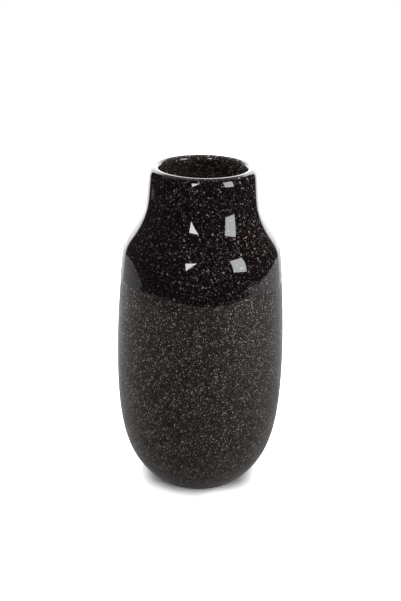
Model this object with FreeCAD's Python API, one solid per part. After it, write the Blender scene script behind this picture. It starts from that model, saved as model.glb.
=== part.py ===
import FreeCAD, Part
from collections import namedtuple
import math
import os

# Bottle vase of fired stoneware that stands on its own foot ring.
# Lengths are in millimetres and angles in degrees.
# The origin is the middle of the resting plane, and +Z runs up the axis of the vase.

# The glazed outside passes these stations from the foot up. A station's angle is how
# far the surface there faces upward, so it is negative where the wall leans outward.
# The shares say how far a station is from the one below to the one above it, in
# radius and in height, and the shoulder's share runs from the belly to the neck.
foot_radius = 35.0
foot_angle = -50.0
heel_shares = (0.82, 0.40)
heel_angle = -12.5
belly_radius = 63.2
belly_height = 95.0
shoulder_share = 0.22
shoulder_height = 184.8
shoulder_angle = 5.5
slope_shares = (0.36, 0.38)
slope_angle = 39.0
neck_height = 229.2
neck_angle = 4.0
lip_radius = 38.9
vase_height = 250.0

# Wall of clay, floor of clay and the coats that are fired onto them
clay_thickness = 5.8
floor_thickness = 7.5
glaze_thickness = 0.8
matt_thickness = 0.5

# The lip has a round edge on each side of a bevel that falls outward
lip_slope_angle = 25.0
lip_round_shares = (0.64, 0.36)

# Turned foot with a shallow recess inside its resting ring, and the flat floor inside
foot_ring_width = 6.0
foot_recess_depth = 3.0
flat_floor_share = 0.75

# Where the coats begin and end
bare_foot_height = 3.0
dip_height = 168.5
mouth_seam_drop = 9.0

# The pot was dipped by hand, so the edge of its glossy coat wanders up and down in a few
# waves that add up. Each has its share of the height, its number of swings in one turn,
# and the side where it is highest, as an angle from the front toward +X.
dip_wave_height = 1.3
dip_wave_shares = (0.45, 1.0, 0.4)
dip_wave_swings = (2, 5, 7)
dip_wave_crests = (-57, -36, -15)
dip_points_per_swing = 8

wall_thickness = clay_thickness + 2 * glaze_thickness
glazed_floor_height = foot_recess_depth + floor_thickness + glaze_thickness
bevel_angle = 90 - lip_slope_angle
dip_reach = dip_wave_height * sum(dip_wave_shares) + glaze_thickness

# A station is a place on the outside and the angle there. A stretch of the outline is
# a round: the arc between two angles about its centre. Its radius is negative where
# the wall is hollow, so that the surface at any depth under the glaze is the same
# round with the depth taken off its radius.
Station = namedtuple("Station", "place angle")
Round = namedtuple("Round", "centre radius first last")


def point(radius, height):
    """A point of the profile, which lies in the plane through the axis and +X."""
    return FreeCAD.Vector(radius, 0, height)


def facing(angle):
    """The unit vector that leans up from straight outward by the angle."""
    return point(math.cos(math.radians(angle)), math.sin(math.radians(angle)))


def angle_of(vector):
    return math.degrees(math.atan2(vector.z, vector.x))


def on(part, angle, depth):
    """The point of a round at an angle, at a depth under the glazed outside."""
    return part.centre + facing(angle) * (part.radius - depth)


def between(start, end, shares):
    """The point at a share of the way in radius and a share of the way in height."""
    return point(
        start.x + shares[0] * (end.x - start.x),
        start.z + shares[1] * (end.z - start.z),
    )


def round_through(station, meeting):
    """Centre, radius and far angle of the round that leaves a station for a point."""
    normal = facing(station.angle)
    chord = meeting - station.place
    radius = -chord.dot(chord) / (2 * normal.dot(chord))
    centre = station.place - normal * radius
    return centre, radius, angle_of((meeting - centre) / radius)


def pair_of_rounds(low, high):
    """Two rounds that join two stations and are tangent to each other where they meet.

    With a and b the directions of climb at the two stations, and both tangents of
    the length d, the rounds meet halfway between the tangents' tips, and d solves
    2 (1 - a.b) d^2 + 2 chord.(a + b) d - chord.chord = 0.
    """
    low_climb = facing(low.angle + 90)
    high_climb = facing(high.angle + 90)
    chord = high.place - low.place
    square_term = 2 * (1 - low_climb.dot(high_climb))
    half_term = chord.dot(low_climb + high_climb)
    root = math.sqrt(half_term**2 + square_term * chord.dot(chord))
    reach = chord.dot(chord) / (half_term + root)
    meeting = (low.place + high.place + (low_climb - high_climb) * reach) / 2
    centre, radius, angle = round_through(low, meeting)
    lower = Round(centre, radius, low.angle, angle)
    centre, radius, angle = round_through(high, meeting)
    return [lower, Round(centre, radius, angle, high.angle)]


def lip_rounds():
    """The lip's outer and inner round edges, with a bevel between them.

    The bevel is as long as it takes for the two rounds to close the full wall.
    """
    outer_round = lip_round_shares[0] * wall_thickness
    inner_round = lip_round_shares[1] * wall_thickness
    turn = math.radians(bevel_angle - neck_angle)
    difference = outer_round - inner_round
    bevel = wall_thickness - outer_round - inner_round + difference * math.cos(turn)
    bevel_length = bevel / math.sin(turn)
    inward = facing(bevel_angle) * difference + facing(bevel_angle + 90) * bevel_length
    outer_centre = point(
        lip_radius - outer_round * facing(neck_angle).x,
        vase_height - inner_round - inward.z,
    )
    inner_centre = outer_centre + inward
    return [
        Round(outer_centre, outer_round, neck_angle, bevel_angle),
        Round(inner_centre, inner_round, bevel_angle, neck_angle + 180),
    ]


def outside_stations():
    """Foot, heel, belly, shoulder, slope and neck."""
    foot = point(foot_radius, 0)
    belly = point(belly_radius, belly_height)
    rise = on(lip[0], neck_angle, 0).z - neck_height
    neck = point(lip_radius + rise * math.tan(math.radians(neck_angle)), neck_height)
    shoulder = point(belly_radius + shoulder_share * (neck.x - belly_radius), shoulder_height)
    return [
        Station(foot, foot_angle),
        Station(between(foot, belly, heel_shares), heel_angle),
        Station(belly, 0),
        Station(shoulder, shoulder_angle),
        Station(between(shoulder, neck, slope_shares), slope_angle),
        Station(neck, neck_angle),
    ]


def rounds_between(stations):
    rounds = []
    for low, high in zip(stations, stations[1:]):
        rounds += pair_of_rounds(low, high)
    return rounds


lip = lip_rounds()
stations = outside_stations()
outside = rounds_between(stations)
floor_edge = point(flat_floor_share * foot_radius, glazed_floor_height - wall_thickness)
inside = rounds_between([Station(floor_edge, -90)] + stations[1:])


def split_at(rounds, height):
    """The rounds below and above the level where the clay reaches the height."""
    for index, part in enumerate(rounds):
        if on(part, part.last, glaze_thickness).z > height:
            rise = height - part.centre.z
            angle = math.degrees(math.asin(rise / (part.radius - glaze_thickness)))
            below = rounds[:index] + [part._replace(last=angle)]
            return below, [part._replace(first=angle)] + rounds[index + 1 :]


def line(start, end):
    return Part.LineSegment(start, end).toShape()


def edges_along(rounds, depth):
    """The arcs of tangent rounds at a depth, from the lowest to the highest."""
    edges = []
    for part in rounds:
        angles = (part.first, (part.first + part.last) / 2, part.last)
        edges.append(Part.Arc(*[on(part, angle, depth) for angle in angles]).toShape())
    return edges


def neck_and_lip_edges(depth):
    """The straight neck, both edges of the lip and the bevel between them."""
    outer, inner = lip
    return [
        line(on(outside[-1], neck_angle, depth), on(outer, outer.first, depth)),
        *edges_along([outer], depth),
        line(on(outer, outer.last, depth), on(inner, inner.first, depth)),
        *edges_along([inner], depth),
    ]


def mouth_seam(depth):
    """Where the dipped coat ends inside the neck, below the lip's inner edge."""
    edge = on(lip[1], lip[1].last, depth)
    return edge + facing(neck_angle - 90) * mouth_seam_drop


def inside_edges(depth, top):
    """The inside at a depth under its glaze, from the axis over the floor to the top."""
    skin = wall_thickness - depth
    start = on(inside[0], -90, skin)
    return [
        line(point(0, start.z), start),
        *edges_along(inside, skin),
        line(on(inside[-1], neck_angle, skin), top),
    ]


def revolved(edges):
    """The closed outline turned once round the vertical axis."""
    outline = Part.Wire(Part.__sortEdges__(edges))
    return Part.Face(outline).revolve(point(0, 0), point(0, 1), 360)


def clay_body():
    """The fired pot: foot ring, recessed base, wall, lip and flat floor."""
    start = on(outside[0], foot_angle, glaze_thickness)
    edge_round = start.z / (1 + math.sin(math.radians(foot_angle)))
    foot_edge = Round(start - facing(foot_angle) * edge_round, edge_round, -90, foot_angle)
    ring_outer = foot_edge.centre.x
    ring_inner = ring_outer - foot_ring_width
    recess_round = foot_recess_depth / 2
    recess_edge = ring_inner - foot_recess_depth
    recess_corner = Round(point(recess_edge, recess_round), recess_round, 0, 90)
    ring_corner = Round(point(ring_inner, recess_round), recess_round, 180, 270)
    floor = point(0, glazed_floor_height - glaze_thickness)
    return revolved([
        line(floor, point(0, foot_recess_depth)),
        line(point(0, foot_recess_depth), point(recess_edge, foot_recess_depth)),
        *edges_along([recess_corner, ring_corner], 0),
        line(point(ring_inner, 0), point(ring_outer, 0)),
        *edges_along([foot_edge], 0),
        *edges_along(outside, glaze_thickness),
        *neck_and_lip_edges(glaze_thickness),
        *inside_edges(glaze_thickness, on(lip[1], lip[1].last, glaze_thickness)),
    ])


def dip_line(radius):
    """The closed wavy line of the dip, at a distance from the axis."""
    waves = list(zip(dip_wave_shares, dip_wave_swings, dip_wave_crests))
    count = dip_points_per_swing * max(dip_wave_swings)
    points = []
    for index in range(count):
        side = 360 * index / count
        rises = [
            share * math.cos(math.radians(swings * (side - crest)))
            for share, swings, crest in waves
        ]
        sideways = math.sin(math.radians(side))
        forward = math.cos(math.radians(side))
        height = dip_height + dip_wave_height * sum(rises)
        points.append(FreeCAD.Vector(radius * sideways, -radius * forward, height))
    curve = Part.BSplineCurve()
    curve.interpolate(Points=points, PeriodicFlag=True)
    return curve.toShape()


def space_under_dip_line():
    """The space round the wall that stayed out of the glaze when the pot was dipped."""
    inner_edge = dip_line(foot_radius)
    outer_edge = dip_line(belly_radius + wall_thickness)
    glaze_level = Part.makeRuledSurface(inner_edge, outer_edge)
    return glaze_level.extrude(point(0, -vase_height))


def depth_of(place):
    """How deep a place lies under the glazed outside."""
    part = split_at(outside, place.z)[1][0]
    reach = point(math.hypot(place.x, place.y), place.z) - part.centre
    return part.radius - math.copysign(reach.Length, part.radius)


def outer_dip_edges(coat):
    """The edges that the dip line leaves in the outer surface of the glossy coat."""
    cut_faces = [face for face in coat.Faces if isinstance(face.Surface, Part.BSplineSurface)]
    edges = []
    for face in cut_faces:
        for edge in face.Edges:
            depths = [depth_of(vertex.Point) for vertex in edge.Vertexes]
            if max(depths) < glaze_thickness / 2:
                edges.append(edge)
    return edges


def matt_glaze():
    """The dry speckled coat, from just above the foot up to the dip line."""
    coated = split_at(split_at(outside, dip_height + dip_reach)[0], bare_foot_height)[1]
    surface = glaze_thickness - matt_thickness
    ends = ((coated[0], coated[0].first), (coated[-1], coated[-1].last))
    uncut = revolved([
        *edges_along(coated, surface),
        *edges_along(coated, glaze_thickness),
        *[line(on(*end, surface), on(*end, glaze_thickness)) for end in ends],
    ])
    [coat] = uncut.common(space_under_dip_line()).Solids
    return coat


def gloss_glaze():
    """The dipped coat on shoulder, neck and lip.

    It is thicker than the matt coat, and its lower edge is rolled down to that one.
    """
    coated = split_at(outside, dip_height - dip_reach)[1]
    start = coated[0].first
    uncut = revolved([
        line(on(coated[0], start, glaze_thickness), on(coated[0], start, 0)),
        *edges_along(coated, 0),
        *neck_and_lip_edges(0),
        line(on(lip[1], lip[1].last, 0), mouth_seam(0)),
        line(mouth_seam(0), mouth_seam(glaze_thickness)),
        line(mouth_seam(glaze_thickness), on(lip[1], lip[1].last, glaze_thickness)),
        *neck_and_lip_edges(glaze_thickness),
        *edges_along(coated, glaze_thickness),
    ])
    [coat] = uncut.cut(space_under_dip_line()).Solids
    return coat.makeFillet(glaze_thickness - matt_thickness, outer_dip_edges(coat))


def liner_glaze():
    """The poured coat that seals the inside, from the neck down over the floor."""
    return revolved([
        *inside_edges(0, mouth_seam(0)),
        line(mouth_seam(0), mouth_seam(glaze_thickness)),
        *inside_edges(glaze_thickness, mouth_seam(glaze_thickness)),
        line(point(0, glazed_floor_height), point(0, glazed_floor_height - glaze_thickness)),
    ])


os.makedirs("parts", exist_ok=True)
for piece in (clay_body, matt_glaze, gloss_glaze, liner_glaze):
    solid = piece()
    solid.exportStep("parts/" + piece.__name__ + ".step")
    box = solid.BoundBox
    print(piece.__name__, "valid", solid.isValid(), "solids", len(solid.Solids))
    print("  cubic millimetres", round(solid.Volume), "from", box.ZMin, "to", box.ZMax)
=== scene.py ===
# %% [markdown]
# # A stoneware bottle vase, dressed for its photograph
#
# The vase is one thrown pot with three coats fired onto it: a dry, grainy coat on the
# lower body, a glossy coat that the top was dipped in, and a glossy liner inside. The
# CAD model has each as its own solid. This lesson keeps the clay as it is and gives the
# coats smoother surfaces, a hand-dipped edge and speckled finishes.

import math

import bpy
import numpy as np
from mathutils import Matrix, Vector


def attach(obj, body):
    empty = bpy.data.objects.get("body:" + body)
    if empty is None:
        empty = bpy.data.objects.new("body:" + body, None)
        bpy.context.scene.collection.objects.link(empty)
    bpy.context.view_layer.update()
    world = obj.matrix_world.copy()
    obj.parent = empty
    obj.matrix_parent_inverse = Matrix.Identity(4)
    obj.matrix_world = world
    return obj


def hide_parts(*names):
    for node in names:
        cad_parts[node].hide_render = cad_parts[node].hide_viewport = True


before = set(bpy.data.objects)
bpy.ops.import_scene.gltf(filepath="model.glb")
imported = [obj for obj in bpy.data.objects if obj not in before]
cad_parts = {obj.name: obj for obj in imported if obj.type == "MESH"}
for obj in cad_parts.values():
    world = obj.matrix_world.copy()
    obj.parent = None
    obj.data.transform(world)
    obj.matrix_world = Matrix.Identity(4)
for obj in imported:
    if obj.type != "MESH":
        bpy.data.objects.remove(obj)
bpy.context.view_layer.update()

MM = 0.001

# %% [markdown]
# ## Camera
#
# The photographer stood in front of the vase, a little above its mouth, and looked down
# at it by 23 degrees. The place was worked out from the ellipses of lip and glaze line:
# their flatness gives the angle, and how it changes with height gives the distance. The
# camera leans by one degree, because the vase in the picture does.

# %% Camera
CAMERA_PLACE = Vector((-0.3, -579.7, 394.5)) * MM
CAMERA_PITCH = math.radians(23.17)
CAMERA_ROLL = math.radians(1.01)
FOCAL_LENGTH_IN_PICTURE_HEIGHTS = 838.8 / 601

camera_data = bpy.data.cameras.new("camera")
camera_data.sensor_width = 36.0
camera_data.lens = FOCAL_LENGTH_IN_PICTURE_HEIGHTS * camera_data.sensor_width
camera = bpy.data.objects.new("camera", camera_data)
tilt = Matrix.Rotation(math.pi / 2 - CAMERA_PITCH, 4, "X")
lean = Matrix.Rotation(CAMERA_ROLL, 4, "Z")
camera.matrix_world = Matrix.Translation(CAMERA_PLACE) @ tilt @ lean
bpy.context.scene.collection.objects.link(camera)
bpy.context.scene.camera = camera
print("lens in mm", round(camera_data.lens, 2))

# %% [markdown]
# ## The outline
#
# A pot from the wheel is a surface of revolution, so one outline gives the whole shape.
# Its gloss shows every kink in curvature as a kink in a reflection, so the outline is a
# cubic B-spline, which has none. Its corner points run from the foot up to the lip. The
# lip is a round, a bevel that falls outward, and a smaller round on the inner edge.

# %% Outline from the foot to the inside of the neck
WALL = 7.4 * MM
GLOSS_DEPTH = 0.8 * MM
BACK_DEPTH = 1.1 * MM
MATT_DEPTH = 0.5 * MM
NECK_TAPER = math.radians(5.4)
BEVEL_FACING = math.radians(65)
LIP_SWELL = 11.0 * MM
LIP_SWELL_FACING = math.radians(27.5)
OUTER_ROUND = 2.9 * MM
INNER_ROUND = 3.1 * MM
MOUTH_SEAM_DROP = 9.0 * MM
CREASE = 0.02 * MM
BODY_POINTS = MM * np.array([
    (35.1, 0), (43.2, 6.84), (55.78, 22.47), (62.86, 54.71), (64.22, 97.7),
    (62.36, 140.99), (59.46, 171.38), (57.93, 189.8), (54.33, 198.67),
    (47.11, 207.31), (40.01, 220.62), (39.54, 236.5), (38.87, 243.5),
])


def b_spline(corners, count):
    """Points of the cubic B-spline that starts and ends at the outer corner points.

    The weight of a corner is built up from steps between knots: a weight of one
    degree more is a straight blend of two neighbouring weights, three times over.
    """
    knots = np.concatenate([np.zeros(3), np.linspace(0, 1, len(corners) - 2), np.ones(3)])
    at = np.linspace(0, 1 - 1e-9, count)[:, None]
    weight = ((knots[:-1] <= at) & (at < knots[1:])).astype(float)
    for degree in (1, 2, 3):
        span = knots[degree:] - knots[:-degree]
        safe = np.where(span > 0, span, 1)
        rising = np.where(span > 0, (at - knots[:-degree]) / safe, 0)
        falling = np.where(span > 0, (knots[degree:] - at) / safe, 0)
        weight = rising[:, :-1] * weight[:, :-1] + falling[:, 1:] * weight[:, 1:]
    return weight @ corners


def facing(angle):
    """Unit vectors in the outline's plane that lean up from straight outward."""
    return np.stack([np.cos(angle), np.sin(angle)], axis=-1)


def arc(centre, radius, first, last, count):
    """Points at one radius from the centre, from the first facing to the last."""
    return centre + radius * facing(np.linspace(first, last, count))


def lip_outline():
    """Gentle swell, outer round, bevel, inner round, and straight down inside the neck.

    Every centre lies one radius behind the end of the piece before. The bevel is as
    long as is left when the rounds have taken their shares of the wall's thickness.
    """
    swell, turn = LIP_SWELL_FACING - NECK_TAPER, BEVEL_FACING - NECK_TAPER
    taken = LIP_SWELL * (1 - math.cos(swell)) + INNER_ROUND * (1 + math.cos(turn))
    taken += OUTER_ROUND * (math.cos(swell) - math.cos(turn))
    bevel = (WALL - taken) / math.sin(turn)
    first = BODY_POINTS[-1] - facing(NECK_TAPER) * LIP_SWELL
    lower = arc(first, LIP_SWELL, NECK_TAPER, LIP_SWELL_FACING, 14)
    second = lower[-1] - facing(LIP_SWELL_FACING) * OUTER_ROUND
    upper = arc(second, OUTER_ROUND, LIP_SWELL_FACING, BEVEL_FACING, 18)
    across = upper[-1] + facing(BEVEL_FACING + math.pi / 2) * bevel
    third = across - facing(BEVEL_FACING) * INNER_ROUND
    edge = arc(third, INNER_ROUND, BEVEL_FACING, NECK_TAPER + math.pi, 40)
    seam = edge[-1] + facing(NECK_TAPER - math.pi / 2) * (MOUTH_SEAM_DROP - CREASE)
    last = seam + facing(NECK_TAPER - math.pi / 2) * CREASE
    flat = np.linspace(upper[-1], edge[0], 4)[1:-1]
    inside = np.linspace(edge[-1], seam, 8)[1:]
    return np.vstack([lower[1:], upper[1:], flat, edge, inside, last])


class Outline:
    """A line in the plane of radius and height, measured by the length along it."""

    def __init__(self, points):
        steps = np.hypot(*np.diff(points, axis=0).T)
        self.points = points[np.append(True, steps > 1e-9)]
        steps = np.hypot(*np.diff(self.points, axis=0).T)
        self.along = np.append(0, np.cumsum(steps))
        self.length = self.along[-1]
        slope = np.gradient(self.points, self.along, axis=0)
        slope /= np.hypot(*slope.T)[:, None]
        self.normal = np.stack([slope[:, 1], -slope[:, 0]], axis=1)

    def at(self, along, depth):
        """Radius and height at a length along the line and a depth under it."""
        radius = np.interp(along, self.along, self.points[:, 0])
        height = np.interp(along, self.along, self.points[:, 1])
        lean_out = np.interp(along, self.along, self.normal[:, 0])
        lean_up = np.interp(along, self.along, self.normal[:, 1])
        return radius - depth * lean_out, height - depth * lean_up

    def along_at_height(self, height):
        """The length at which the line first reaches a height."""
        rising = np.maximum.accumulate(self.points[:, 1])
        return np.interp(height, rising, self.along)


outside = Outline(np.vstack([b_spline(BODY_POINTS, 900), lip_outline()]))
print("top of the lip in mm", outside.points[:, 1].max() / MM)
print("outline", round(outside.length / MM, 1), "mm long, widest", outside.points[:, 0].max() / MM)

# %% [markdown]
# ## The dip line
#
# The pot was held upside down by its foot and dipped, so the edge of its glossy coat is
# nearly level and wanders by a millimetre or two. A few slow waves carry the shape that
# the photograph shows, and faster, smaller ones give the edge its unsteady hand.

# %% Height of the dip line round the pot
DIP_HEIGHT = 168.5 * MM
DIP_WAVE = 1.3 * MM
DIP_WAVES = ((0.45, 2, -57), (1.0, 5, -36), (0.4, 7, -15))
DIP_RIPPLE = 0.16 * MM
DIP_RIPPLES = (13, 19, 23, 31, 41)


def dip_height(side):
    """Level plus a sum of cosines of the angle from the front toward +X."""
    rises = [
        share * np.cos(swings * (side - math.radians(crest)))
        for share, swings, crest in DIP_WAVES
    ]
    ripples = [np.cos(swings * side + swings**2) for swings in DIP_RIPPLES]
    return DIP_HEIGHT + DIP_WAVE * sum(rises) + DIP_RIPPLE * sum(ripples)


# %% [markdown]
# ## Turning an outline into a coat
#
# Each coat is a thin closed skin. Its outline is a loop: up the visible side, over its
# edge and back down against the clay. The loop is carried round the axis on a grid of
# rows along the loop and columns round the pot. Where a loop starts and ends on the
# axis, that end is one point with a fan of triangles.

# %% Grid to mesh
SIDES = 360


def turned(name, radius, height, poles=False):
    """A closed mesh whose grid points lie at radius and height, row by column.

    x = radius sin(side) and y = -radius cos(side), with side counted from the front.
    """
    rows, columns = radius.shape
    side = 2 * np.pi * np.arange(columns) / columns
    grid = np.stack([radius * np.sin(side), -radius * np.cos(side), height], axis=-1)
    index = np.arange(rows * columns).reshape(rows, columns)
    if not poles:
        index = np.vstack([index, index[:1]])
    right = np.roll(index, -1, axis=1)
    quads = np.stack([index[:-1], right[:-1], right[1:], index[1:]], axis=-1)
    faces = quads.reshape(-1, 4).tolist()
    points = grid.reshape(-1, 3)
    if poles:
        ends = np.array([[0, 0, height[0, 0]], [0, 0, height[-1, 0]]])
        first, last = len(points), len(points) + 1
        points = np.vstack([points, ends])
        bottom = np.stack([right[0], index[0], np.full(columns, first)], axis=-1)
        top = np.stack([index[-1], right[-1], np.full(columns, last)], axis=-1)
        faces += bottom.tolist() + top.tolist()
    mesh = bpy.data.meshes.new(name)
    mesh.from_pydata(points.tolist(), [], faces)
    mesh.polygons.foreach_set("use_smooth", np.ones(len(mesh.polygons), bool))
    mesh.update()
    made = bpy.data.objects.new(name, mesh)
    bpy.context.scene.collection.objects.link(made)
    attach(made, "root")
    print(name, len(points), "points and", len(faces), "faces")
    return made


def on_every_side(values):
    """One value a row, repeated for every column round the pot."""
    return np.repeat(np.asarray(values, float)[:, None], SIDES, axis=1)


sides = 2 * np.pi * np.arange(SIDES) / SIDES
dip_along = outside.along_at_height(dip_height(sides))
print("dip line", dip_height(sides).min() / MM, "to", dip_height(sides).max() / MM, "mm")

# %% [markdown]
# ## The glossy coat
#
# Glaze that runs in the kiln stops in a small roll, so this coat is a little thicker
# just above its edge and rounds down to the dry coat there. The rows start at the wavy
# line on every side, so up to the lip they stretch a little from side to side. Over the
# lip they are the outline's own points, close together where it turns.

# %% Glossy coat
EDGE_ROUND = 1.0 * MM
BEAD = 0.04 * MM
BEAD_REACH = 1.6 * MM
CLOSE_ROWS = MM * np.array([0, 0.02, 0.08, 0.18, 0.32, 0.5, 0.7, 0.9, 1.2, 1.6, 2.1, 2.7, 3.4])
FIRST_WIDE_ROW = 4.4 * MM
WIDE_ROWS = 115
BACK_ROWS = 50


def gloss_depth(above_edge):
    """Depth under the outline: a quarter ellipse at the edge, less a bell-shaped bead."""
    inside_round = np.clip(1 - above_edge / EDGE_ROUND, 0, 1)
    drop = (GLOSS_DEPTH - MATT_DEPTH) * (1 - np.sqrt(1 - inside_round**2))
    bead = BEAD * np.exp(-((above_edge - BEAD_REACH) / BEAD_REACH) ** 2)
    return drop - bead * (1 - inside_round)


def gloss_coat():
    """Close rows at the wavy edge, wide rows up to the lip, its own points, and the back."""
    lip_start = outside.along_at_height(BODY_POINTS[-1][1])
    span = lip_start - dip_along
    evenly = np.linspace(FIRST_WIDE_ROW / span.mean(), 1, WIDE_ROWS)
    shares = np.append(CLOSE_ROWS / span.mean(), evenly)
    lip_along = outside.along[outside.along > lip_start + CREASE / 2]
    along = np.vstack([dip_along + shares[:, None] * span, on_every_side(lip_along)])
    radius, height = outside.at(along, gloss_depth(along - dip_along))
    whole = outside.length - dip_along
    back_along = dip_along + np.linspace(1, 0, BACK_ROWS)[:, None] * whole
    back_radius, back_height = outside.at(back_along, BACK_DEPTH)
    return turned(
        "dipped_gloss_coat",
        np.vstack([radius, back_radius]),
        np.vstack([height, back_height]),
    )


gloss = gloss_coat()
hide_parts("gloss_glaze")

# %% [markdown]
# ## The dry coat
#
# The matt coat is thinner than the glossy one and meets it at the wavy line. It starts
# above the foot, where the potter sponges the glaze off so that the pot doesn't stick
# to the kiln shelf. That lower edge isn't quite even either.

# %% Dry coat
BARE_FOOT = 3.0 * MM
SPONGED_EDGE = 0.25 * MM
MATT_ROWS = 170
ROUNDED_ROW_SHARES = (0, 0.001, 0.003)
FIRST_EVEN_SHARE = 0.006


def matt_coat():
    """From the sponged edge, rounded like a quarter ellipse, up to the wavy line."""
    foot_height = BARE_FOOT + SPONGED_EDGE * (np.cos(3 * sides + 1) + np.cos(8 * sides))
    foot_along = outside.along_at_height(foot_height)
    span = dip_along - foot_along
    surface = GLOSS_DEPTH - MATT_DEPTH
    last = [1 - CREASE / span.mean(), 1]
    evenly = np.linspace(FIRST_EVEN_SHARE, 1, MATT_ROWS)[:-1]
    shares = np.concatenate([ROUNDED_ROW_SHARES, evenly, last])
    along = foot_along + shares[:, None] * span
    above_edge = (along - foot_along) / MATT_DEPTH
    rounding = np.clip(1 - above_edge, 0, 1)
    depth = surface + MATT_DEPTH * (1 - np.sqrt(1 - rounding**2))
    radius, height = outside.at(along, depth)
    back_along = foot_along + np.linspace(1, 0, BACK_ROWS)[:, None] * span
    back_radius, back_height = outside.at(back_along, BACK_DEPTH)
    return turned(
        "dry_matt_coat",
        np.vstack([radius, back_radius[:-1]]),
        np.vstack([height, back_height[:-1]]),
    )


matt = matt_coat()
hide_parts("matt_glaze")

# %% [markdown]
# ## The liner
#
# The liner was poured in and out again. It runs from the end of the dipped coat down
# the inside and over the floor. Its visible side is the outline at the full depth of
# the wall, which near the floor turns into a wide, soft corner.

# %% Liner
FLOOR_HEIGHT = 11.3 * MM
FLAT_FLOOR = 26.25 * MM
CORNER_TOP = 60.0 * MM
FLOOR_START = 1.5 * MM
CORNER_FLAT = 8 * MM
CORNER_REACH = 20 * MM
CORNER_RISE = 7 * MM
CORNER_PULL = 0.45
SEAM_CLEARANCE = 0.3 * MM


def liner_outline():
    """The inside from the middle of the floor to the end of the dipped coat."""
    corner_start = outside.along_at_height(CORNER_TOP)
    wall_along = np.linspace(corner_start, outside.along_at_height(BODY_POINTS[-1][1]), 300)
    wall = np.stack(outside.at(wall_along, WALL), axis=1)
    slope = (wall[1] - wall[0]) / (wall[1][1] - wall[0][1])
    corner = np.array([
        (FLAT_FLOOR, FLOOR_HEIGHT),
        (FLAT_FLOOR + CORNER_FLAT, FLOOR_HEIGHT),
        (FLAT_FLOOR + CORNER_REACH, FLOOR_HEIGHT + CORNER_RISE),
        wall[0] - slope * (wall[0][1] - FLOOR_HEIGHT) * CORNER_PULL,
        wall[0],
    ])
    floor = np.linspace((FLOOR_START, FLOOR_HEIGHT), corner[0], 12)
    top = outside.points[-1]
    below_top = wall[:, 1] < top[1] - SEAM_CLEARANCE
    return np.vstack([floor, b_spline(corner, 60)[1:], wall[1:][below_top[1:]], top])


def liner():
    """The visible side down from the seam to the floor, after the back on its way up."""
    line = Outline(liner_outline())
    evenly = np.linspace(line.length, 0, 160)
    seen_along = np.concatenate([[line.length, line.length - CREASE], evenly[1:]])
    back_along = np.linspace(0, line.length, 60)
    seen_radius, seen_height = line.at(seen_along, 0)
    back_radius, back_height = line.at(back_along, -GLOSS_DEPTH)
    back_radius = np.abs(back_radius)
    radius = np.concatenate([back_radius, seen_radius])
    height = np.concatenate([back_height, seen_height])
    return turned("poured_liner", on_every_side(radius), on_every_side(height), poles=True)


inner_coat = liner()
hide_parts("liner_glaze")

# %% [markdown]
# ## Shader arithmetic
#
# A finish is a sum of patterns. Written as Python expressions they read like the recipe,
# so this small class wraps an output socket and lets +, -, * and the rest add the Math
# nodes. One method adds every other kind of node.

# %% Sockets that can be added and multiplied


class Glaze:
    """A socket of a material's or the world's node tree."""

    def __init__(self, tree, socket=None):
        self.tree = tree
        self.socket = socket

    def node(self, kind, settings=None, **inputs):
        """Adds a node: its settings first, then values or links for its sockets.

        Returns the node's outputs by identifier.
        """
        made = self.tree.nodes.new(kind)
        for name, value in (settings or {}).items():
            if name == "stops":
                self.set_stops(made.color_ramp, value)
            else:
                setattr(made, name, value)
        by_name = {socket.identifier.replace(" ", "_"): socket for socket in made.inputs}
        for name, value in inputs.items():
            self.feed(by_name[name], value)
        return {out.identifier: Glaze(self.tree, out) for out in made.outputs}

    def feed(self, target, value):
        if isinstance(value, Glaze):
            self.tree.links.new(value.socket, target)
        else:
            target.default_value = value

    @staticmethod
    def set_stops(ramp, stops):
        while len(ramp.elements) < len(stops):
            ramp.elements.new(1.0)
        for element, (place, colour) in zip(ramp.elements, stops):
            element.position = place
            element.color = colour

    def math(self, operation, *values, clamp=False):
        names = ("Value", "Value_001", "Value_002")
        inputs = dict(zip(names, values))
        settings = {"operation": operation, "use_clamp": clamp}
        return self.node("ShaderNodeMath", settings, **inputs)["Value"]

    def __add__(self, other):
        return self.math("ADD", self, other)

    __radd__ = __add__

    def __mul__(self, other):
        return self.math("MULTIPLY", self, other)

    __rmul__ = __mul__

    def __sub__(self, other):
        return self.math("SUBTRACT", self, other)

    def __rsub__(self, other):
        return self.math("SUBTRACT", other, self)

    def __truediv__(self, other):
        return self.math("DIVIDE", self, other)

    def __rtruediv__(self, other):
        return self.math("DIVIDE", other, self)

    def __pow__(self, other):
        return self.math("POWER", self, other)

    def clamped(self):
        return self.math("ADD", self, 0.0, clamp=True)

    def at_least(self, limit):
        return self.math("MAXIMUM", self, limit)

    def at_most(self, limit):
        return self.math("MINIMUM", self, limit)

    def smooth(self, low, high):
        """0 under the low value and 1 over the high one, with a soft step between."""
        limits = {"From_Min": low, "From_Max": high, "To_Min": 0.0, "To_Max": 1.0}
        settings = {"interpolation_type": "SMOOTHSTEP"}
        return self.node("ShaderNodeMapRange", settings, Value=self, **limits)["Result"]

    def blend(self, first, second, share):
        """One colour into another by a share."""
        settings = {"data_type": "RGBA"}
        inputs = {"Factor_Float": share, "A_Color": first, "B_Color": second}
        return self.node("ShaderNodeMix", settings, **inputs)["Result_Color"]


def new_material(name):
    """A material with only its output node, and the glaze tools for its tree."""
    material = bpy.data.materials.new(name)
    material.use_nodes = True
    material.node_tree.nodes.clear()
    return material, Glaze(material.node_tree)


def finish_with(tools, shader):
    """Links the shader to the material's output and says how many nodes it took."""
    output = tools.tree.nodes.new("ShaderNodeOutputMaterial")
    tools.tree.links.new(shader.socket, output.inputs["Surface"])
    print("finish made of", len(tools.tree.nodes), "nodes")


def dress(piece, material):
    """Gives a piece one material and no other."""
    piece.data.materials.clear()
    piece.data.materials.append(material)


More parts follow.
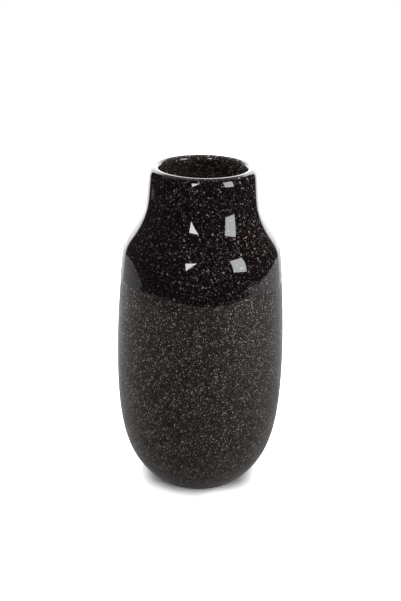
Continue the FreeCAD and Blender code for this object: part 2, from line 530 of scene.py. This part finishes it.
# %% [markdown]
# ## Grains
#
# Both glazes hold pale grains. A grain is a cell of a Voronoi pattern in the object's
# own space: it shows where the surface passes near enough to the cell's point, and the
# cell's colour tells how large and how bright it is. Noise bends the space first, so
# that no grain is quite round.

# %% Grain pattern


def bent_space(tools, bend, scale):
    """Object coordinates, stood on a cube's corner and pushed about by a fine noise.

    The cells lie in layers. Upright layers would graze the front of the pot and show
    there as a patch, and layers that all lean the same way from the axis don't.
    """
    place = tools.node("ShaderNodeTexCoord")["Object"]
    turn = (math.atan(math.sqrt(2)), 0.0, math.pi / 4)
    where = tools.node("ShaderNodeMapping", Vector=place, Rotation=turn)["Vector"]
    noise = tools.node("ShaderNodeTexNoise", Vector=where, Scale=scale, Detail=2.0)["Color"]
    centred = tools.node(
        "ShaderNodeVectorMath", {"operation": "SUBTRACT"}, Vector=noise, Vector_001=(0.5,) * 3
    )["Vector"]
    return tools.node(
        "ShaderNodeVectorMath",
        {"operation": "MULTIPLY_ADD"},
        Vector=centred, Vector_001=(bend,) * 3, Vector_002=where,
    )["Vector"]


def grains(tools, where, spacing, share, size, softness):
    """How much of a grain covers a place, and how bright that grain is, both 0 to 1.

    The radius is the size times how far the cell's first number is into the share.
    """
    cells = tools.node(
        "ShaderNodeTexVoronoi", {"voronoi_dimensions": "3D"}, Vector=where, Scale=1 / spacing
    )
    numbers = tools.node("ShaderNodeSeparateColor", Color=cells["Color"])
    first, second = numbers["Red"], numbers["Green"]
    radius = ((first - (1 - share)) / share).clamped() ** 0.6 * size
    cover = ((radius - cells["Distance"]) / softness).clamped()
    return cover, second


# %% [markdown]
# ## Gloss glaze
#
# Black glass over dark clay: near-black underneath, smooth on top, with pale grains of
# four sizes that sit in the glass. Inside the mouth the glass and its grains are painted
# paler, as painted light for the dim inside. On the left, toward -X, the grains carry painted
# shade.

# %% Gloss glaze
GLOSS_DUST = {"spacing": 1.15 * MM, "share": 1.0, "size": 0.62, "softness": 0.30}
GLOSS_FINE = {"spacing": 1.7 * MM, "share": 1.0, "size": 0.50, "softness": 0.20}
GLOSS_MEDIUM = {"spacing": 3.2 * MM, "share": 0.8, "size": 0.28, "softness": 0.11}
GLOSS_LARGE = {"spacing": 9.0 * MM, "share": 0.5, "size": 0.14, "softness": 0.05}
BLACK_GLASS = (0.0050, 0.0028, 0.0030, 1.0)
# Glass painted paler, as painted light for the dim inside of the pot.
INSIDE_GLASS_WITH_PAINTED_LIGHT = (0.0260, 0.0210, 0.0190, 1.0)
GLOSS_GRAIN = (0.42, 0.36, 0.355, 1.0)
MOUTH_INSIDE, MOUTH_OUTSIDE = 32.5 * MM, 34.5 * MM
LEFT_SIDE = 40.0 * MM
PAINTED_LIGHT_INSIDE_GAIN = 1.6
PAINTED_SHADE_LEFT_LOSS = 0.65


def gloss_finish(name, ground, roughness):
    material, tools = new_material(name)
    where = bent_space(tools, 0.0009, 900.0)
    dust, dust_tone = grains(tools, where, **GLOSS_DUST)
    fine, fine_tone = grains(tools, where, **GLOSS_FINE)
    medium, medium_tone = grains(tools, where, **GLOSS_MEDIUM)
    large, large_tone = grains(tools, where, **GLOSS_LARGE)
    light = (
        dust * dust_tone**1.5 * 0.27
        + fine * fine_tone**3 * 0.66
        + medium * medium_tone**3 * 0.85
        + large * (large_tone * 0.5 + 0.2) * 0.4
    ).clamped()
    axes = tools.node("ShaderNodeSeparateXYZ", Vector=tools.node("ShaderNodeTexCoord")["Object"])
    away = (axes["X"] * axes["X"] + axes["Y"] * axes["Y"]) ** 0.5
    # Painted light: inside the mouth the glass is painted paler and its grains brighter.
    painted_light_inside = 1 - away.smooth(MOUTH_INSIDE, MOUTH_OUTSIDE)
    # Painted shade: toward -X the grains are dimmed.
    painted_shade_left = (1 - axes["X"].smooth(-LEFT_SIDE, 0.0)) * PAINTED_SHADE_LEFT_LOSS
    shown = (light * (1 + painted_light_inside * PAINTED_LIGHT_INSIDE_GAIN) * (1 - painted_shade_left)).clamped()
    ground_with_painted_light = tools.blend(ground, INSIDE_GLASS_WITH_PAINTED_LIGHT, painted_light_inside)
    colour = tools.blend(ground_with_painted_light, GLOSS_GRAIN, shown)
    shader = tools.node(
        "ShaderNodeBsdfPrincipled",
        Base_Color=colour, Roughness=roughness, IOR=1.5,
    )["BSDF"]
    finish_with(tools, shader)
    return material


gloss_material = gloss_finish("speckled_gloss_glaze", BLACK_GLASS, 0.03)
# The liner's ground is the paler glass, painted light for the dim inside of the pot.
liner_material = gloss_finish("poured_liner_glaze", INSIDE_GLASS_WITH_PAINTED_LIGHT, 0.28)
dress(gloss, gloss_material)
dress(inner_coat, liner_material)

# %% [markdown]
# ## Matt glaze
#
# The dry coat is a dark warm grey, crowded with fine pale grains. It is rough, and the
# grains stand a little proud, so the bump and the colour come from the same pattern.

# %% Matt glaze
MATT_DUST = {"spacing": 0.65 * MM, "share": 1.0, "size": 0.55, "softness": 0.22}
MATT_FINE = {"spacing": 0.90 * MM, "share": 1.0, "size": 0.50, "softness": 0.18}
MATT_MEDIUM = {"spacing": 2.2 * MM, "share": 0.7, "size": 0.22, "softness": 0.08}
DRY_GROUND = (0.0032, 0.0017, 0.0009, 1.0)
DRY_GRAIN = (0.50, 0.421, 0.372, 1.0)
GRAIN_RELIEF = 0.25 * MM


def matt_finish():
    material, tools = new_material("dry_speckled_glaze")
    where = bent_space(tools, 0.0004, 1200.0)
    dust, dust_tone = grains(tools, where, **MATT_DUST)
    fine, fine_tone = grains(tools, where, **MATT_FINE)
    medium, medium_tone = grains(tools, where, **MATT_MEDIUM)
    light = (
        dust * dust_tone**1.5 * 0.50
        + fine * fine_tone**2.5 * 1.6
        + medium * (medium_tone * 0.6 + 0.2) * 0.7
    ).clamped()
    colour = tools.blend(DRY_GROUND, DRY_GRAIN, light)
    relief = light + dust * 0.3
    bump = tools.node(
        "ShaderNodeBump", Strength=0.5, Distance=GRAIN_RELIEF, Height=relief
    )["Normal"]
    shader = tools.node(
        "ShaderNodeBsdfPrincipled",
        Base_Color=colour, Roughness=0.50, IOR=1.5, Specular_IOR_Level=0.3,
        Sheen_Weight=0.25, Sheen_Roughness=0.35, Normal=bump,
    )["BSDF"]
    finish_with(tools, shader)
    return material


matt_material = matt_finish()
dress(matt, matt_material)

# %% [markdown]
# ## Bare clay
#
# The foot ring and the recess under the pot are unglazed: dry, dark, iron-rich
# stoneware. The CAD node has the right shape, so it only gets a finish.

# %% Bare clay
DARK_CLAY = (0.050, 0.036, 0.029, 1.0)
PALE_CLAY = (0.115, 0.088, 0.070, 1.0)
CLAY_RELIEF = 0.3 * MM


def clay_finish():
    material, tools = new_material("bare_stoneware")
    where = tools.node("ShaderNodeTexCoord")["Object"]
    clouds = tools.node("ShaderNodeTexNoise", Vector=where, Scale=90.0, Detail=4.0)["Fac"]
    grog = tools.node("ShaderNodeTexNoise", Vector=where, Scale=1400.0, Detail=3.0)["Fac"]
    share = (clouds.smooth(0.35, 0.7) * 0.6 + grog * 0.4).clamped()
    colour = tools.blend(DARK_CLAY, PALE_CLAY, share)
    bump = tools.node(
        "ShaderNodeBump", Strength=0.5, Distance=CLAY_RELIEF, Height=grog
    )["Normal"]
    shader = tools.node(
        "ShaderNodeBsdfPrincipled", Base_Color=colour, Roughness=0.85, Normal=bump
    )["BSDF"]
    finish_with(tools, shader)
    return material


dress(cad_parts["clay_body"], clay_finish())

# %% [markdown]
# ## The studio
#
# The photograph was taken on a white table in front of a bright white backdrop, with the
# dark room behind the camera. That is why the black gloss has white edges and a dark
# middle. Two soft lights, one cut to a triangle by its flags, stand in front.
#
# The table is paper white and keeps the pot's shadow. To the camera its tone is raised so
# that it turns plain white away from the pot, as in an exposure for a white background.

# %% Table
TABLE_SIZE = 6.0
TABLE_DROP = 0.3 * MM
TABLE_GAIN = 1.5
PAPER_TONE = 0.6
WING_START = math.radians(134.5)
WING_FULL = math.radians(140.5)


def wings(tools, x, y):
    """1 where a direction points at the backdrop's lit wings, counted from the front."""
    turn = tools.math("ABSOLUTE", tools.math("ARCTAN2", x, 0 - y))
    return turn.smooth(WING_START, WING_FULL)


def table():
    half = TABLE_SIZE / 2
    corners = [(-half, -half), (half, -half), (half, half), (-half, half)]
    mesh = bpy.data.meshes.new("table")
    mesh.from_pydata([(x, y, -TABLE_DROP) for x, y in corners], [], [(0, 1, 2, 3)])
    made = bpy.data.objects.new("table", mesh)
    bpy.context.scene.collection.objects.link(made)
    return made


def table_finish():
    """White paper. In reflections it glows with painted light, has its real edges and is
    backlit behind the pot, and near the pot, outside the wings, it is painted dark.

    The edges are straight lines in x and y. The backlight grows with the distance from
    the pot and only shows inside the backdrop's wings. To the camera, painted light lifts
    the paper in front of the pot, most of all close to its foot and in a ring 4 cm from its
    axis, and painted shadow holds it back beside it.
    """
    material, tools = new_material("white_table")
    place = tools.node("ShaderNodeTexCoord")["Object"]
    axes = tools.node("ShaderNodeSeparateXYZ", Vector=place)
    x, y = axes["X"], axes["Y"]
    rays = tools.node("ShaderNodeLightPath")
    left_edge = (0.68 + y * 0.23 + (y + 0.10).at_least(0) * 0.6).at_most(1.1)
    on_table = (
        y.smooth(-0.36, -0.30)
        * (1 - y.smooth(0.60, 0.68))
        * (x + left_edge).smooth(-0.03, 0.03)
        * (0.78 + y * 0.1 - x).smooth(-0.03, 0.03)
        * (1 - (x * x + y * y).smooth(1.28, 1.45))
    )
    away = (x * x + y * y) ** 0.5
    # Near the pot the glow seen in reflections is painted dark in front and brighter behind.
    near = 1 - away.smooth(0.28, 0.40)
    plain = on_table * (0.62 + x * 0.2) * (1 - near * 0.85)
    backlit = 1.0 + (away - 0.45).at_least(0).at_most(0.85) * 2.6 + near * 2.0
    wing = wings(tools, x, y)
    mirrored = (plain + 0.03) + (backlit - plain) * wing
    # The table glows in reflections: painted light in place of the lit paper.
    painted_reflection_glow = tools.node(
        "ShaderNodeEmission", Color=(1.0, 1.0, 1.0, 1.0), Strength=mirrored
    )["Emission"]
    in_front = ((0 - y) / away).smooth(0.5, 0.95)
    beside = tools.math("ABSOLUTE", x / away).smooth(0.2, 0.8)
    # Painted shadow beside the pot, and painted light in front of it and in a ring round it.
    clear = 1 - beside * (1 - away.smooth(0.034, 0.052)) * 0.68
    painted_light_ring = away.smooth(0.033, 0.039) * (1 - away.smooth(0.042, 0.048))
    painted_light_in_front = 1 + in_front * (0.7 + (1 - away.smooth(0.031, 0.037)) * 1.6 + painted_light_ring * 0.48)
    seen = PAPER_TONE + rays["Is Camera Ray"] * (painted_light_in_front * clear * TABLE_GAIN - PAPER_TONE)
    white = tools.node("ShaderNodeCombineColor", Red=seen, Green=seen, Blue=seen)["Color"]
    paper = tools.node("ShaderNodeBsdfDiffuse", Color=white)["BSDF"]
    shader = tools.node(
        "ShaderNodeMixShader", Fac=rays["Is Glossy Ray"], Shader=paper, Shader_001=painted_reflection_glow
    )["Shader"]
    finish_with(tools, shader)
    return material


table_top = table()
dress(table_top, table_finish())

# %% [markdown]
# Lamps are flat panels that only shine, with their corners where the highlights on the
# gloss say they were.

# %% Two soft lights
RIGHT_PANEL = [
    (909.7, -945.9, 1010.4), (1165.5, -529.9, 985.2),
    (1543.3, -755.5, 149.1), (1217.9, -1239.1, 269.0),
]
LEFT_PANEL = [(-560.1, -1240.1, 944.9), (-161.2, -1322.7, 1034.6), (-451.3, -1189.7, 388.8)]


def panel(name, corners, colour, strength):
    """A flat light with its corners in millimetres, which only reflections see."""
    mesh = bpy.data.meshes.new(name)
    mesh.from_pydata([Vector(corner) * MM for corner in corners], [], [tuple(range(len(corners)))])
    made = bpy.data.objects.new(name, mesh)
    bpy.context.scene.collection.objects.link(made)
    material, tools = new_material(name)
    shader = tools.node("ShaderNodeEmission", Color=(*colour, 1.0), Strength=strength)["Emission"]
    finish_with(tools, shader)
    dress(made, material)
    made.visible_camera = False
    made.visible_diffuse = False
    made.visible_shadow = False
    return made


panel("soft_light_right", RIGHT_PANEL, (0.95, 0.98, 1.0), 9.9)
panel("soft_light_left", LEFT_PANEL, (1.0, 0.95, 1.0), 17.0)

# %% [markdown]
# The world is plain white to the camera. Matt surfaces get a soft light from it, with more
# from the backdrop's wings, from the right, from the back left and from overhead. Only
# reflections see the backdrop itself, the ceiling and the dark room in front.

# %% World


def studio_world():
    """White to the camera, a mirrored studio to reflections, and soft light to the rest."""
    world = bpy.data.worlds.new("studio")
    world.use_nodes = True
    world.node_tree.nodes.clear()
    tools = Glaze(world.node_tree)
    direction = tools.node("ShaderNodeTexCoord")["Generated"]
    axes = tools.node("ShaderNodeSeparateXYZ", Vector=direction)
    rays = tools.node("ShaderNodeLightPath")
    wing = wings(tools, axes["X"], axes["Y"])
    low = 3.3 + axes["Z"].smooth(-0.02, 0.10) * 0.8
    high = axes["Z"].smooth(0.14, 0.28)
    backdrop = low + (4.0 - low) * high
    above = axes["Z"].smooth(0.52, 0.70)
    ceiling = axes["Y"].smooth(-0.05, 0.15) * 0.45
    mirrored = 0.03 + wing * backdrop * (1 - above) + ceiling * above
    side = tools.math("ARCTAN2", axes["X"], 0 - axes["Y"])
    from_right = side.smooth(0.9, 1.5) * (1 - side.smooth(2.1, 2.4))
    from_left = (0 - side).smooth(1.7, 2.05) * (1 - (0 - side).smooth(2.3, 2.45))
    overhead = axes["Z"].smooth(0.45, 0.95)
    soft = 0.33 + wing * 3.0 + from_right * 2.5 + from_left * 4.8 + overhead * 0.6
    glossy = rays["Is Glossy Ray"]
    seen = rays["Is Camera Ray"]
    strength = seen + (1 - seen) * (glossy * mirrored + (1 - glossy) * soft)
    light = tools.node("ShaderNodeBackground", Color=(1.0, 1.0, 1.0, 1.0), Strength=strength)
    output = world.node_tree.nodes.new("ShaderNodeOutputWorld")
    world.node_tree.links.new(light["Background"].socket, output.inputs["Surface"])
    bpy.context.scene.world = world


studio_world()
bpy.context.scene.view_settings.view_transform = "Standard"
print("world and view set to", bpy.context.scene.view_settings.view_transform)
